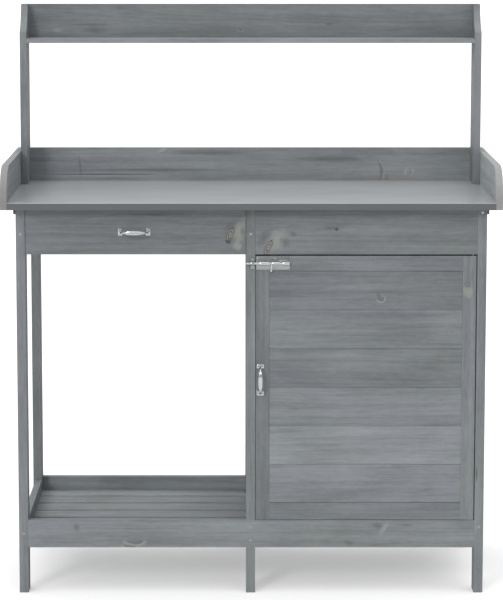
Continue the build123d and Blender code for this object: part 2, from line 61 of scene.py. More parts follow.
# Each board: direction of its grain, and its tone, which on several boards also holds painted light (noted
# below). Its place here picks its stretch of timber.
BOARDS = {
    "leg_front_left": ("Z", 1.00),
    "leg_front_right": ("Z", 1.02),
    "leg_rear_left": ("Z", 0.96),
    "leg_rear_right": ("Z", 0.98),
    "post_front": ("Z", 1.03),
    "post_rear": ("Z", 0.97),
    "rail_front_lower": ("X", 1.09),
    # Painted light: rail_rear_lower is made lighter to make up for the shade deep under the worktop.
    "rail_rear_lower": ("X", 1.42),
    "rail_rear_upper": ("X", 0.96),
    "rail_left_lower": ("Y", 1.00),
    "rail_right_lower": ("Y", 0.98),
    "rail_left_upper": ("Y", 0.98),
    "rail_right_upper": ("Y", 1.00),
    "rail_partition_upper": ("Y", 0.98),
    "slat_ledgers": ("Y", 0.98),
    # Painted light: the slats get lighter towards the back, slat_6 most, to make up for the shade under
    # the worktop.
    "slat_1": ("X", 1.08),
    "slat_2": ("X", 1.12),
    "slat_3": ("X", 1.15),
    "slat_4": ("X", 1.16),
    "slat_5": ("X", 1.20),
    "slat_6": ("X", 1.55),
    "worktop_core": ("X", 1.00),
    "cleat_front": ("X", 0.96),
    "cleat_rear": ("X", 0.98),
    # Painted light: both side guards are made lighter, side_guard_right most, for how the light falls on
    # them.
    "side_guard_left": ("Y", 1.28),
    "side_guard_right": ("Y", 2.1),
    "back_guard": ("X", 1.30),
    "upright_left": ("Z", 1.08),
    "upright_right": ("Z", 1.08),
    "hutch_shelf": ("X", 1.25),
    "hutch_back": ("X", 1.01),
    # Painted shade: cabinet_apron and drawer_front are made a little darker for the shade under the
    # worktop's lip.
    "cabinet_apron": ("X", 0.96),
    "drawer_runners": ("Y", 0.98),
    "drawer_front": ("X", 0.92),
    "drawer_side_left": ("Y", 1.00),
    "drawer_side_right": ("Y", 0.98),
    "drawer_back": ("X", 1.00),
    "door_stile_latch": ("Z", 0.86),
    "door_stile_hinge": ("Z", 1.04),
    "door_rail_top": ("X", 0.93),
    "door_rail_bottom": ("X", 0.94),
}

# Walls of tongued boards: direction of the grain, and each board's tone from the lowest up. The door's
# tones are partly random and partly painted light: lighter low down, darker up towards the shade under the
# worktop.
PLANKS = {
    "door_planks": ("X", (1.16, 1.28, 1.09, 0.96, 1.02, 0.94)),
    "side_planks": ("Y", (1.00, 0.95, 1.04, 0.99, 1.06, 0.96, 1.02)),
    "partition_planks": ("Y", (0.97, 1.03, 0.95, 1.05, 1.00, 0.94, 1.02)),
    "back_planks": ("X", (1.02, 0.97, 1.05, 0.96, 1.00, 1.04, 0.98)),
}
FIRST_WALL = 50            # numbers of the walls' timber
WALL_STEP = 10
PLANK_STEP = 1.37          # from one tongued board's timber to the next
PANEL_NUMBER = 90          # plywood bottom of the drawer
PANEL_TONE = 1.12

# Marks in the timber, among them a painted shadow and a painted highlight noted below: kind, middle in mm,
# half sizes in mm, and lean to the right in degrees.
# They lie on the faces that look to the front, or on top of the slats.
MARKS = {
    "drawer_front": [
        ("dark", (-48, 806), (16, 26), 35),
        ("light", (-24, 800), (20, 38), 22),
        ("light", (-30, 768), (14, 12), 0),
        ("knot", (-46, 793), (8.5, 22), 22),
        ("spot", (-50, 779), (9, 6), 10),
        ("dark", (-18, 800), (9, 14), 0),
        # Painted shadow: a dark band just under the worktop's lip.
        ("dark", (-215, 838), (60, 5), 0),
    ],
    "cabinet_apron": [
        ("dark", (26, 786), (14, 28), 40),
        ("light", (56, 782), (24, 34), 32),
        ("knot", (36, 766), (8, 22), 28),
        ("warm", (211, 804), (25, 8), 0),
        ("spot", (184, 806), (6, 5), 0),
        ("dark", (170, 808), (18, 6), 0),
        ("dark", (72, 778), (17, 14), 20),
        ("dark", (90, 796), (12, 8), 20),
    ],
    "door_planks": [
        ("crescent", (281, 655), (12, 12), -20),
        ("dark", (276, 660), (7, 12), -15),
    ],
    "door_stile_hinge": [
        ("light", (470, 668), (16, 18), 0),
        ("knot", (468, 686), (8, 6), 80),
    ],
    "rail_front_lower": [
        ("light", (290, 143), (8, 25), 34),
        ("dark", (277, 150), (17, 9), 10),
        ("dark", (340, 152), (22, 4), 0),
        ("dark", (214, 112), (15, 7), 15),
        ("crescent", (-265, 106), (24, 9), 0),
        ("dark", (-383, 146), (10, 12), 10),
        ("crescent", (-255, 116), (30, 12), 0),
    ],
    "slat_5": [
        ("light", (-383, 105), (16, 14), 30),
        ("knot", (-378, 104), (7, 6), 0),
    ],
    "slat_3": [
        ("light", (-430, -20), (14, 10), 0),
    ],
    "back_guard": [
        ("crack", (-350, 880), (160, 1.6), 0),
        # Painted highlight: a pale line along the lower edge of the crack above.
        ("pale", (-330, 876), (150, 1.6), 0),
        ("dark", (-395, 898), (3, 30), -4),
        ("dark", (-207, 890), (190, 5), 0),
        ("arc", (262, 886), (51, 46), 18),
        ("dark", (318, 872), (7, 9), 10),
        ("pale", (361, 886), (3, 15), 14),
        ("pale", (376, 884), (3, 14), 14),
        ("dark", (373, 884), (3, 4), 0),
        ("dark", (-90, 930), (120, 8), 0),
        ("dark", (180, 915), (110, 9), 0),
        ("warm", (330, 872), (80, 10), 0),
        ("pale", (-205, 936), (16, 5), -20),
    ],
    "hutch_back": [
        ("dark", (-366, 1227), (70, 4), 0),
        ("dark", (-357, 1214), (38, 9), 0),
        ("light", (-445, 1215), (14, 7), 0),
        ("crescent", (-23, 1216), (9, 6), 0),
        ("dark", (181, 1228), (12, 6), 0),
    ],
    "leg_front_right": [
        ("crack", (493, 267), (2, 20), 0),
    ],
}
FLAT_BOARDS = ("slat_3", "slat_5")       # their marks lie on top
EDGED_BOARDS = ("side_guard_left", "side_guard_right")      # their sawn edges are lighter and warmer: partly the wood's own colour, partly painted highlight
EDGE_COLOUR_AND_PAINTED_HIGHLIGHT = (0.195, 0.185, 0.180, 1)

# Stops of each kind of mark, from its middle outwards: distance, colour, strength
MARK_STOPS = {
    "knot": (
        (0.00, (0.060, 0.054, 0.050), 0.90),
        (0.14, (0.165, 0.148, 0.130), 0.85),
        (0.28, (0.185, 0.168, 0.146), 0.80),
        (0.42, (0.022, 0.022, 0.020), 0.95),
        (0.50, (0.165, 0.156, 0.138), 0.75),
        (0.62, (0.175, 0.170, 0.152), 0.70),
        (0.74, (0.024, 0.026, 0.024), 0.95),
        (0.82, (0.120, 0.124, 0.118), 0.50),
        (1.00, (0.110, 0.115, 0.115), 0.00),
    ),
    "light": (
        (0.00, (0.215, 0.223, 0.195), 0.72),
        (0.45, (0.205, 0.214, 0.190), 0.58),
        (1.05, (0.165, 0.175, 0.168), 0.00),
    ),
    "pale": (
        (0.00, (0.300, 0.305, 0.290), 0.65),
        (0.60, (0.270, 0.275, 0.262), 0.50),
        (1.00, (0.230, 0.236, 0.230), 0.00),
    ),
    "warm": (
        (0.00, (0.195, 0.178, 0.165), 0.60),
        (0.60, (0.180, 0.168, 0.158), 0.42),
        (1.00, (0.150, 0.145, 0.140), 0.00),
    ),
    "dark": (
        (0.00, (0.060, 0.066, 0.066), 0.62),
        (0.50, (0.075, 0.082, 0.083), 0.42),
        (1.00, (0.110, 0.117, 0.120), 0.00),
    ),
    "spot": (
        (0.00, (0.028, 0.030, 0.028), 0.90),
        (0.55, (0.040, 0.044, 0.040), 0.75),
        (1.00, (0.080, 0.085, 0.085), 0.00),
    ),
    "crack": (
        (0.00, (0.030, 0.032, 0.032), 0.85),
        (0.70, (0.055, 0.058, 0.060), 0.60),
        (1.00, (0.100, 0.105, 0.108), 0.00),
    ),
    "crescent": (
        (0.00, (0.080, 0.084, 0.084), 0.50),
        (0.55, (0.072, 0.075, 0.075), 0.45),
        (0.68, (0.220, 0.228, 0.208), 0.75),
        (0.85, (0.215, 0.222, 0.205), 0.40),
        (1.00, (0.170, 0.178, 0.170), 0.00),
    ),
    "arc": (
        (0.74, (0.100, 0.105, 0.106), 0.00),
        (0.82, (0.070, 0.074, 0.075), 0.48),
        (0.90, (0.075, 0.080, 0.080), 0.55),
        (0.95, (0.230, 0.238, 0.232), 0.65),
        (1.02, (0.220, 0.226, 0.222), 0.35),
        (1.10, (0.160, 0.168, 0.168), 0.00),
    ),
}


# ---- settings
class StainSettings(bpy.types.PropertyGroup):
    """The grey stain on the fir boards."""
    colour: bpy.props.FloatVectorProperty(
        name="Stain", description="Average colour of the stained boards",
        default=(0.128, 0.1372, 0.1445), subtype="COLOR", size=3, min=0, max=1)
    contrast: bpy.props.FloatProperty(
        name="Figure", description="How strongly the grain shows through the stain",
        default=1.5, min=0, max=3, subtype="FACTOR")
    bump: bpy.props.FloatProperty(
        name="Grain depth", description="Height of the grain that can be felt on the planed face",
        default=0.00022, min=0, max=0.002, unit="LENGTH", precision=5)


class SheetSettings(bpy.types.PropertyGroup):
    """The coated sheet on the worktop."""
    colour: bpy.props.FloatVectorProperty(
        name="Sheet", description="Colour of the coated sheet",
        default=(0.270, 0.283, 0.290), subtype="COLOR", size=3, min=0, max=1)
    # Painted shade: the folded front lip gets a darker colour than the top of the same sheet.
    fold_painted_shade: bpy.props.FloatProperty(
        name="Fold", description="Shade of the folded front edge beside the top",
        default=0.27, min=0, max=1, subtype="FACTOR")
    roughness: bpy.props.FloatProperty(
        name="Roughness", description="Average roughness of the sheet",
        default=0.20, min=0, max=1, subtype="FACTOR")


class MetalSettings(bpy.types.PropertyGroup):
    """The zinc-plated pulls, bolt and screws."""
    # Painted highlight: the bolt's straps get this lighter zinc, and the plate they are pressed from gets
    # the darker one.
    bright: bpy.props.FloatVectorProperty(
        name="Bright zinc", description="Colour of the pulls, and of the bolt's straps and rod",
        default=(0.46, 0.47, 0.48), subtype="COLOR", size=3, min=0, max=1)
    # Painted shade: the bolt's plate gets this darker zinc, and the straps pressed from it get the lighter
    # one.
    dull: bpy.props.FloatVectorProperty(
        name="Dull zinc", description="Colour of the bolt's plate and keeper, the pins and the screws",
        default=(0.29, 0.30, 0.305), subtype="COLOR", size=3, min=0, max=1)
    grip_width: bpy.props.FloatProperty(
        name="Grip width", description="Width of a bow pull in its middle",
        default=0.0095, min=0.004, max=0.016, unit="LENGTH", precision=4)
    grip_thick: bpy.props.FloatProperty(
        name="Grip thickness", description="Thickness of a bow pull",
        default=0.0032, min=0.002, max=0.006, unit="LENGTH", precision=4)
    neck_width: bpy.props.FloatProperty(
        name="Neck width", description="Width of a bow pull just above its flange",
        default=0.0030, min=0.002, max=0.008, unit="LENGTH", precision=4)


class StageSettings(bpy.types.PropertyGroup):
    """Floor, light and camera."""
    floor: bpy.props.FloatVectorProperty(
        name="Floor", description="Colour of the pale floor",
        default=(0.55, 0.55, 0.55), subtype="COLOR", size=3, min=0, max=1)
    floor_glow: bpy.props.FloatProperty(
        name="Floor light", description="Brightness of the lit floor by itself",
        default=0.36, min=0, max=2)
    horizon: bpy.props.FloatProperty(
        name="Walls", description="Brightness of the white surroundings at eye level",
        default=0.43, min=0, max=5)
    overhead: bpy.props.FloatProperty(
        name="Ceiling", description="Brightness of the white surroundings straight above",
        default=2.15, min=0, max=5)
    key: bpy.props.FloatProperty(
        name="Key light", description="Strength of the soft light from the front left",
        default=1.1, min=0, max=20)
    camera_place: bpy.props.FloatVectorProperty(
        name="Camera", description="Place of the camera",
        default=(-0.0325, -5.5104, 1.5003), subtype="TRANSLATION", size=3, unit="LENGTH")
    camera_tilt: bpy.props.FloatProperty(
        name="Tilt", description="How far the camera looks down",
        default=math.radians(7.422), subtype="ANGLE", unit="ROTATION")
    lens: bpy.props.FloatProperty(
        name="Lens", description="Focal length on a 36 mm wide sensor, in millimetres",
        default=148.8, min=20, max=300)
    shift: bpy.props.FloatVectorProperty(
        name="Shift", description="Sideways and upward shift of the lens",
        default=(0.0253, -0.12), size=2)


# ---- nodes of a material
def plug(tree, value, socket):
    """Links an output to a socket, or sets the socket's own value."""
    if isinstance(value, bpy.types.NodeSocket):
        tree.links.new(value, socket)
    else:
        socket.default_value = value


def set_inputs(tree, node, values):
    """Links or sets several inputs of a node."""
    for name, value in values.items():
        plug(tree, value, node.inputs[name])
    return node


def add_node(tree, kind, inputs=None, **settings):
    """Adds a shader node with its settings and inputs."""
    made = tree.nodes.new("ShaderNode" + kind)
    for name, value in settings.items():
        setattr(made, name, value)
    return set_inputs(tree, made, inputs or {})


def calculate(tree, operation, *values):
    """One step of arithmetic."""
    made = add_node(tree, "Math", dict(enumerate(values)), operation=operation)
    return made.outputs[0]


def times(tree, first, second):
    """Multiplies two values."""
    return calculate(tree, "MULTIPLY", first, second)


def plus(tree, first, second):
    """Adds two values."""
    return calculate(tree, "ADD", first, second)


def minus(tree, first, second):
    """Takes the second value from the first."""
    return calculate(tree, "SUBTRACT", first, second)


def combine(tree, operation, first, second):
    """One step of vector arithmetic."""
    made = add_node(tree, "VectorMath", {0: first, 1: second}, operation=operation)
    return made.outputs[0]


def blend_colours(tree, amount, first, second, blend="MIX"):
    """Mixes two colours."""
    made = add_node(tree, "Mix", {0: amount, 6: first, 7: second}, data_type="RGBA", blend_type=blend)
    return made.outputs[2]


def shaded(tree, colour, shade):
    """A colour made lighter or darker."""
    grey = add_node(tree, "CombineXYZ", {i: shade for i in range(3)}).outputs[0]
    return combine(tree, "MULTIPLY", colour, grey)


def axis_part(tree, vector, axis):
    """One part of a vector: 0 is X, 1 is Y and 2 is Z."""
    return add_node(tree, "SeparateXYZ", {0: vector}).outputs[axis]


def stretched_noise(tree, vector, stretch, detail=2.0, roughness=0.5):
    """Noise around 0.5 whose features repeat about stretch times per metre along each axis."""
    scaled = combine(tree, "MULTIPLY", vector, stretch)
    inputs = {"Vector": scaled, "Scale": 1.0, "Detail": detail, "Roughness": roughness}
    return add_node(tree, "TexNoise", inputs).outputs[0]


def remap(tree, value, low, high, to_low, to_high):
    """Stretches a range of values onto another, held at its ends."""
    inputs = {0: value, 1: low, 2: high, 3: to_low, 4: to_high}
    return add_node(tree, "MapRange", inputs, interpolation_type="SMOOTHSTEP").outputs[0]


def ramp(tree, value, stops, interpolation="LINEAR"):
    """A colour ramp: stops are (place, colour, alpha)."""
    made = add_node(tree, "ValToRGB", {0: value})
    made.color_ramp.interpolation = interpolation
    elements = made.color_ramp.elements
    while len(elements) < len(stops):
        elements.new(1.0)
    for element, (place, colour, alpha) in zip(elements, stops):
        element.position = place
        element.color = (*colour, alpha)
    return made.outputs


def new_group(name, inputs, outputs):
    """An empty node group with its sockets: inputs and outputs are {name: kind}."""
    group = bpy.data.node_groups.new(name, "ShaderNodeTree")
    for side, sockets in (("INPUT", inputs), ("OUTPUT", outputs)):
        for label, kind in sockets.items():
            group.interface.new_socket(label, in_out=side, socket_type="NodeSocket" + kind)
    start = group.nodes.new("NodeGroupInput")
    end = group.nodes.new("NodeGroupOutput")
    return group, start.outputs, end.inputs


def use_group(tree, group, inputs):
    """A group node in a tree."""
    made = tree.nodes.new("ShaderNodeGroup")
    made.node_tree = group
    return set_inputs(tree, made, inputs).outputs


def new_material(name):
    """A material with only a Principled shader joined to its output."""
    material = bpy.data.materials.new(name)
    material.use_nodes = True
    shader = material.node_tree.nodes["Principled BSDF"]
    return material, material.node_tree, shader


def object_coordinates(tree):
    """Coordinates in metres on the piece itself."""
    return add_node(tree, "TexCoord").outputs["Object"]


# ---- fir
def grain_space(tree, vector, start):
    """Moves to another stretch of timber and lets the grain wander a little."""
    offset = combine(tree, "MULTIPLY", start["Number"], (0.731, 0.437, 0.259))
    moved = combine(tree, "ADD", vector, offset)
    bend = minus(tree, stretched_noise(tree, moved, (2.6, 11, 11)), 0.5)
    sideways = add_node(tree, "CombineXYZ", {1: bend, 2: bend}).outputs[0]
    drift = combine(tree, "MULTIPLY", sideways, (0, 0.016, 0.008))
    return moved, combine(tree, "ADD", moved, drift)


def fir_knots(tree, vector):
    """Small scattered knots: how strongly each point belongs to one."""
    scaled = combine(tree, "MULTIPLY", vector, (3.2, 6.5, 6.5))
    cells = add_node(tree, "TexVoronoi", {"Vector": scaled, "Scale": 1.0})
    distance = cells.outputs["Distance"]
    chosen = add_node(tree, "SeparateColor", {0: cells.outputs["Color"]}).outputs[0]
    chosen = calculate(tree, "GREATER_THAN", chosen, 0.72)
    core = remap(tree, distance, 0.025, 0.050, 1.0, 0.0)
    halo = remap(tree, distance, 0.05, 0.14, 1.0, 0.0)
    return times(tree, core, chosen), times(tree, halo, chosen)


def fir_group():
    """Figure of one board: shade around 1, a tint, and the height of the grain."""
    group, start, end = new_group(
        "Stained fir", {"Vector": "Vector", "Number": "Float"},
        {"Shade": "Float", "Tint": "Color", "Height": "Float"})
    plain, grain = grain_space(group, start["Vector"], start)
    blotch = stretched_noise(group, plain, (5, 16, 16), 3.0, 0.55)
    wash = stretched_noise(group, plain, (1.6, 7, 7), 1.0)
    streak = stretched_noise(group, grain, (1.7, 95, 60), 3.0, 0.6)
    fibre = stretched_noise(group, grain, (22, 480, 480), 3.0, 0.65)
    mottle = stretched_noise(group, plain, (55, 120, 120), 2.0, 0.6)
    figure = stretched_noise(group, grain, (0.8, 20, 20), 0.0)
    bands = calculate(group, "FRACT", times(group, figure, 15.0))
    late = remap(group, bands, 0.55, 0.95, 0.0, 1.0)
    late = times(group, late, remap(group, bands, 0.95, 1.0, 1.0, 0.0))
    core, halo = fir_knots(group, grain)
    parts = ((blotch, 0.5, 0.46), (wash, 0.5, 0.22), (streak, 0.5, 0.38), (fibre, 0.5, 0.30),
             (mottle, 0.5, 0.16), (late, 0.2, -0.045))
    shade = 1.0
    for value, middle, amount in parts:
        part = times(group, minus(group, value, middle), amount)
        shade = plus(group, part, shade)
    shade = minus(group, shade, times(group, core, 0.45))
    shade = minus(group, shade, times(group, halo, 0.10))
    plug(group, shade, end["Shade"])
    hue = stretched_noise(group, plain, (2.2, 9, 9), 1.0)
    hue = remap(group, hue, 0.30, 0.70, 0.0, 1.0)
    tint = blend_colours(group, hue, (0.990, 1.010, 0.980, 1), (1.006, 0.993, 1.012, 1))
    tint = blend_colours(group, times(group, core, 0.7), tint, (1.15, 1.0, 0.86, 1))
    plug(group, tint, end["Tint"])
    height = plus(group, fibre, times(group, streak, 0.6))
    height = minus(group, height, times(group, late, 0.35))
    plug(group, height, end["Height"])
    return group


def mark_group(kind):
    """Paints one kind of mark over a colour; the mark is a ball of radius 1 round the origin."""
    group, start, end = new_group(
        "Mark " + kind, {"Colour": "Color", "Vector": "Vector"}, {"Colour": "Color"})
    cloudy = kind in ("light", "dark", "warm")
    ripple = stretched_noise(group, start["Vector"], (1.7, 1.7, 1.7), 4.0 if cloudy else 2.0, 0.6)
    amount = {"arc": 0.12, "knot": 0.55}.get(kind, 1.1 if cloudy else 0.5)
    ripple = times(group, minus(group, ripple, 0.5), amount)
    length = add_node(group, "VectorMath", {0: start["Vector"]}, operation="LENGTH")
    distance = plus(group, length.outputs["Value"], ripple)
    colour, strength = ramp(group, distance, MARK_STOPS[kind], "EASE")
    if kind == "crescent":
        height = axis_part(group, start["Vector"], 2)
        lower = remap(group, height, -0.3, 0.3, 1.0, 0.15)
        strength = times(group, strength, lower)
    if kind == "arc":
        side = axis_part(group, start["Vector"], 0)
        strength = times(group, strength, remap(group, side, 0.45, 0.65, 0.0, 1.0))
    plug(group, blend_colours(group, strength, start["Colour"], colour), end["Colour"])
    return group


def along_grain(tree, coordinates, grain):
    """Turns coordinates so that the grain runs along their first axis."""
    parts = add_node(tree, "SeparateXYZ", {0: coordinates}).outputs
    order = {"X": (0, 2, 1), "Y": (1, 2, 0), "Z": (2, 0, 1)}[grain]
    return add_node(tree, "CombineXYZ", {i: parts[place] for i, place in enumerate(order)}).outputs[0]


def end_grain(tree, grain):
    """1 on the sawn ends of a board and 0 on its faces."""
    normal = add_node(tree, "TexCoord").outputs["Normal"]
    part = axis_part(tree, normal, "XYZ".index(grain))
    return remap(tree, calculate(tree, "ABSOLUTE", part), 0.80, 0.95, 0.0, 1.0)


def add_mark(tree, colour, coordinates, groups, mark, depth, flat):
    """Paints one mark on a board at its place; depth is the board's face."""
    kind, place, size, lean = mark
    angle = math.radians(lean)
    if flat:
        location = (place[0] * MM, place[1] * MM, depth)
        scale = (size[0] * MM, size[1] * MM, 0.02)
        rotation = (0, 0, -angle)
    else:
        location = (place[0] * MM, depth, place[1] * MM)
        scale = (size[0] * MM, 0.02, size[1] * MM)
        rotation = (0, angle, 0)
    inputs = {"Vector": coordinates, "Location": location, "Rotation": rotation, "Scale": scale}
    mapped = add_node(tree, "Mapping", inputs, vector_type="TEXTURE").outputs[0]
    return use_group(tree, groups[kind], {"Colour": colour, "Vector": mapped})[0]


def plank_tone_and_painted_light(tree, coordinates, node, tones_and_painted_light):
    """Number of the board in a wall of tongued boards, and its lightness, which on the door also holds
    painted light.
    """
    low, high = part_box(node)
    height = axis_part(tree, coordinates, 2)
    share = calculate(tree, "DIVIDE", minus(tree, height, low.z), high.z - low.z)
    index = calculate(tree, "FLOOR", times(tree, share, float(len(tones_and_painted_light))))
    stops = [(i / len(tones_and_painted_light), (tone_and_painted_light / 2,) * 3, 1.0) for i, tone_and_painted_light in enumerate(tones_and_painted_light)]
    tone_and_painted_light = times(tree, ramp(tree, share, stops, "CONSTANT")[0], 2.0)
    return index, tone_and_painted_light


def stain(node, grain, number, tone_and_painted_light, groups, settings):
    """The stained finish of one board, or of one wall of boards."""
    material, tree, shader = new_material("stained " + node.replace("_", " "))
    coordinates = object_coordinates(tree)
    if isinstance(tone_and_painted_light, tuple):
        index, tone_and_painted_light = plank_tone_and_painted_light(tree, coordinates, node, tone_and_painted_light)
        number = plus(tree, times(tree, index, PLANK_STEP), float(number))
    vector = along_grain(tree, coordinates, grain)
    shade, tint, height = use_group(tree, groups["fir"], {"Vector": vector, "Number": number})
    shade = calculate(tree, "MULTIPLY_ADD", minus(tree, shade, 1.0), settings.contrast, 1.0)
    # The board's lightness, which on some boards also holds painted light.
    shade = times(tree, shade, tone_and_painted_light)
    sawn = times(tree, end_grain(tree, grain), -0.22)
    shade = times(tree, shade, plus(tree, sawn, 1.0))
    colour = blend_colours(tree, 1.0, (*settings.colour, 1), tint, "MULTIPLY")
    colour = shaded(tree, colour, shade)
    flat = node in FLAT_BOARDS
    low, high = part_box(node)
    for mark in MARKS.get(node, ()):
        colour = add_mark(tree, colour, coordinates, groups, mark, high.z if flat else low.y, flat)
    if node in EDGED_BOARDS:
        colour = sawn_edge_and_painted_highlight(tree, colour)
    bump = add_node(tree, "Bump", {"Strength": 1.0, "Distance": settings.bump, "Height": height})
    rough = remap(tree, shade, 0.7, 1.3, 0.76, 0.60)
    set_inputs(tree, shader, {
        "Base Color": colour, "Roughness": rough, "Normal": bump.outputs[0],
        "Specular IOR Level": 0.35})
    return material


def sawn_edge_and_painted_highlight(tree, colour):
    """Lightens and warms the sawn edges of a board that stands across the bench: partly the wood's own
    colour, partly a painted highlight.
    """
    normal = add_node(tree, "TexCoord").outputs["Normal"]
    across = axis_part(tree, normal, 0)
    share = remap(tree, calculate(tree, "ABSOLUTE", across), 0.3, 0.7, 0.70, 0.0)
    return blend_colours(tree, share, colour, EDGE_COLOUR_AND_PAINTED_HIGHLIGHT)


def finish_node(node, material):
    """Gives a node of the frame its finish."""
    mesh = nodes[node].data
    mesh.materials.clear()
    mesh.materials.append(material)


# ---- metal
def zinc_material(name, base):
    """Zinc plate, a little uneven in shade and in gloss."""
    material, tree, shader = new_material(name)
    coordinates = object_coordinates(tree)
    cloud = stretched_noise(tree, coordinates, (220, 220, 220), 3.0, 0.6)
    shade = remap(tree, cloud, 0.3, 0.7, 0.93, 1.05)
    colour = shaded(tree, tuple(base), shade)
    rough = remap(tree, cloud, 0.3, 0.7, 0.12, 0.18)
    set_inputs(tree, shader, {"Base Color": colour, "Roughness": rough, "Metallic": 1.0})
    return material


def zinc(settings, finish):
    """The lighter or the darker zinc, made once; on the bolt they give painted highlight and painted
    shade.
    """
    name = finish + " zinc"
    return bpy.data.materials.get(name) or zinc_material(name, getattr(settings, finish))


def sheet_material(settings):
    """Smooth grey-coated sheet, with painted shade on its folded front lip."""
    material, tree, shader = new_material("coated sheet")
    coordinates = object_coordinates(tree)
    cloud = stretched_noise(tree, coordinates, (5, 9, 9), 3.0, 0.55)
    rolled = stretched_noise(tree, coordinates, (3, 260, 260), 2.0, 0.6)
    shade = remap(tree, cloud, 0.3, 0.7, 0.95, 1.03)
    shade = plus(tree, shade, times(tree, rolled, 0.04))
    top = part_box("worktop_sheet")[1].z
    height = axis_part(tree, coordinates, 2)
    # Painted shade: darker colour on the front lip than on the top.
    fold_painted_shade = remap(tree, height, top - 1.2 * MM, top - 0.2 * MM, settings.fold_painted_shade, 1.0)
    shade = times(tree, shade, fold_painted_shade)
    colour = shaded(tree, tuple(settings.colour), shade)
    rough = remap(tree, cloud, 0.3, 0.7, settings.roughness - 0.004, settings.roughness + 0.004)
    set_inputs(tree, shader, {
        "Base Color": colour, "Roughness": rough, "IOR": 1.6, "Specular IOR Level": 0.32})
    return material


# ---- mesh work
def stand_alone(piece):
    """Selects one object only and makes it the active one."""
    bpy.ops.object.select_all(action="DESELECT")
    piece.select_set(True)
    bpy.context.view_layer.objects.active = piece


def added(name, make, **settings):
    """Adds a primitive by itself and names it, with its place in its mesh."""
    bpy.ops.object.select_all(action="DESELECT")
    make(**settings)
    piece = bpy.context.object
    piece.name = name
    piece.data.name = name
    bpy.ops.object.transform_apply(location=True, rotation=True, scale=True)
    return piece


def block(name, low, high):
    """A block between two corners, to be worked on."""
    low, high = Vector(low), Vector(high)
    cube = bpy.ops.mesh.primitive_cube_add
    return added(name, cube, size=1, location=(low + high) / 2, scale=high - low)


@contextmanager
def editing(piece, kind="FACE"):
    """Edit mode on one piece, with nothing selected."""
    stand_alone(piece)
    bpy.ops.object.mode_set(mode="EDIT")
    bpy.ops.mesh.select_mode(type=kind)
    bpy.ops.mesh.select_all(action="DESELECT")
    yield
    bpy.ops.object.mode_set(mode="OBJECT")


def pick_faces(piece, test):
    """Selects the faces whose middle and normal pass a test."""
    mesh = bmesh.from_edit_mesh(piece.data)
    for face in mesh.faces:
        face.select_set(test(face.calc_center_median(), face.normal))
    bmesh.update_edit_mesh(piece.data)


def pick_edges(piece, test):
    """Selects the edges whose middle and direction pass a test."""
    mesh = bmesh.from_edit_mesh(piece.data)
    for edge in mesh.edges:
        first, second = (vertex.co for vertex in edge.verts)
        edge.select_set(test((first + second) / 2, (second - first).normalized()))
    bmesh.update_edit_mesh(piece.data)


def round_edges(piece, test, width, segments, **settings):
    """Rounds the edges that pick_edges finds."""
    with editing(piece, "EDGE"):
        pick_edges(piece, test)
        bpy.ops.mesh.bevel(offset=width, segments=segments, **settings)


def pull_out(way):
    """Extrudes the selected faces."""
    bpy.ops.mesh.extrude_region_move(TRANSFORM_OT_translate={"value": way})


def pick_points(piece, test):
    """Selects the vertices whose place passes a test."""
    mesh = bmesh.from_edit_mesh(piece.data)
    for vertex in mesh.verts:
        vertex.select_set(test(vertex.co))
    mesh.select_flush_mode()
    bmesh.update_edit_mesh(piece.data)


def applied(piece, kind, **settings):
    """Adds a modifier to a piece and applies it."""
    stand_alone(piece)
    bpy.ops.object.modifier_add(type=kind)
    modifier = piece.modifiers[-1]
    for name, value in settings.items():
        setattr(modifier, name, value)
    bpy.ops.object.modifier_apply(modifier=modifier.name)


def joined(name, pieces):
    """Joins pieces into one."""
    bpy.ops.object.select_all(action="DESELECT")
    for piece in pieces:
        piece.select_set(True)
    bpy.context.view_layer.objects.active = pieces[0]
    if len(pieces) > 1:
        bpy.ops.object.join()
    pieces[0].name = name
    pieces[0].data.name = name
    return pieces[0]


def copied(piece):
    """A copy with its own mesh."""
    stand_alone(piece)
    bpy.ops.object.duplicate(linked=False)
    return bpy.context.object


def placed(piece, matrix):
    """Moves a piece by a matrix, with its place in its mesh."""
    piece.matrix_world = matrix
    stand_alone(piece)
    bpy.ops.object.transform_apply(location=True, rotation=True, scale=True)
    return piece


def ready(piece, body, slot, material, *replaced):
    """Smooths, finishes and hangs a piece on its body."""
    stand_alone(piece)
    bpy.ops.object.shade_smooth_by_angle(angle=SMOOTH_ANGLE)
    piece.data.materials.clear()
    piece.data.materials.append(material)
    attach(piece, body)
    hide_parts(*replaced)


def loose_points(node):
    """Points of each separate solid of a node of the frame, as a list of lists."""
    spare = copied(nodes[node])
    with editing(spare, "VERT"):
        bpy.ops.mesh.select_all(action="SELECT")
        bpy.ops.mesh.remove_doubles(threshold=TOUCH)
        bpy.ops.mesh.separate(type="LOOSE")
    solids = []
    for part in list(bpy.context.selected_objects):
        mesh = part.data
        solids.append([vertex.co.copy() for vertex in mesh.vertices])
        bpy.data.objects.remove(part)
        bpy.data.meshes.remove(mesh)
    return solids


# ---- screws
SUNK_HEAD, SUNK_NECK, SUNK_DEPTH = 2.8 * MM, 1.8 * MM, 2.0 * MM      # radii, and depth of the cone
SUNK_CROSS = (3.0 * MM, 0.7 * MM, 1.1 * MM)                          # reach, width and depth
PAN_HEAD, PAN_NECK, PAN_HEIGHT = 2.2 * MM, 1.3 * MM, 1.0 * MM
PAN_CROSS = (2.2 * MM, 0.6 * MM, 0.6 * MM)
PAN_ROUNDING = 0.6 * MM
LONGEST_PAN = 15 * MM      # longer screws are countersunk
POINT_SHARE = 0.2          # part of a shank that tapers to the point
TURN_STEP = 0.9            # turn of the driver's cross from one screw to the next, in radians


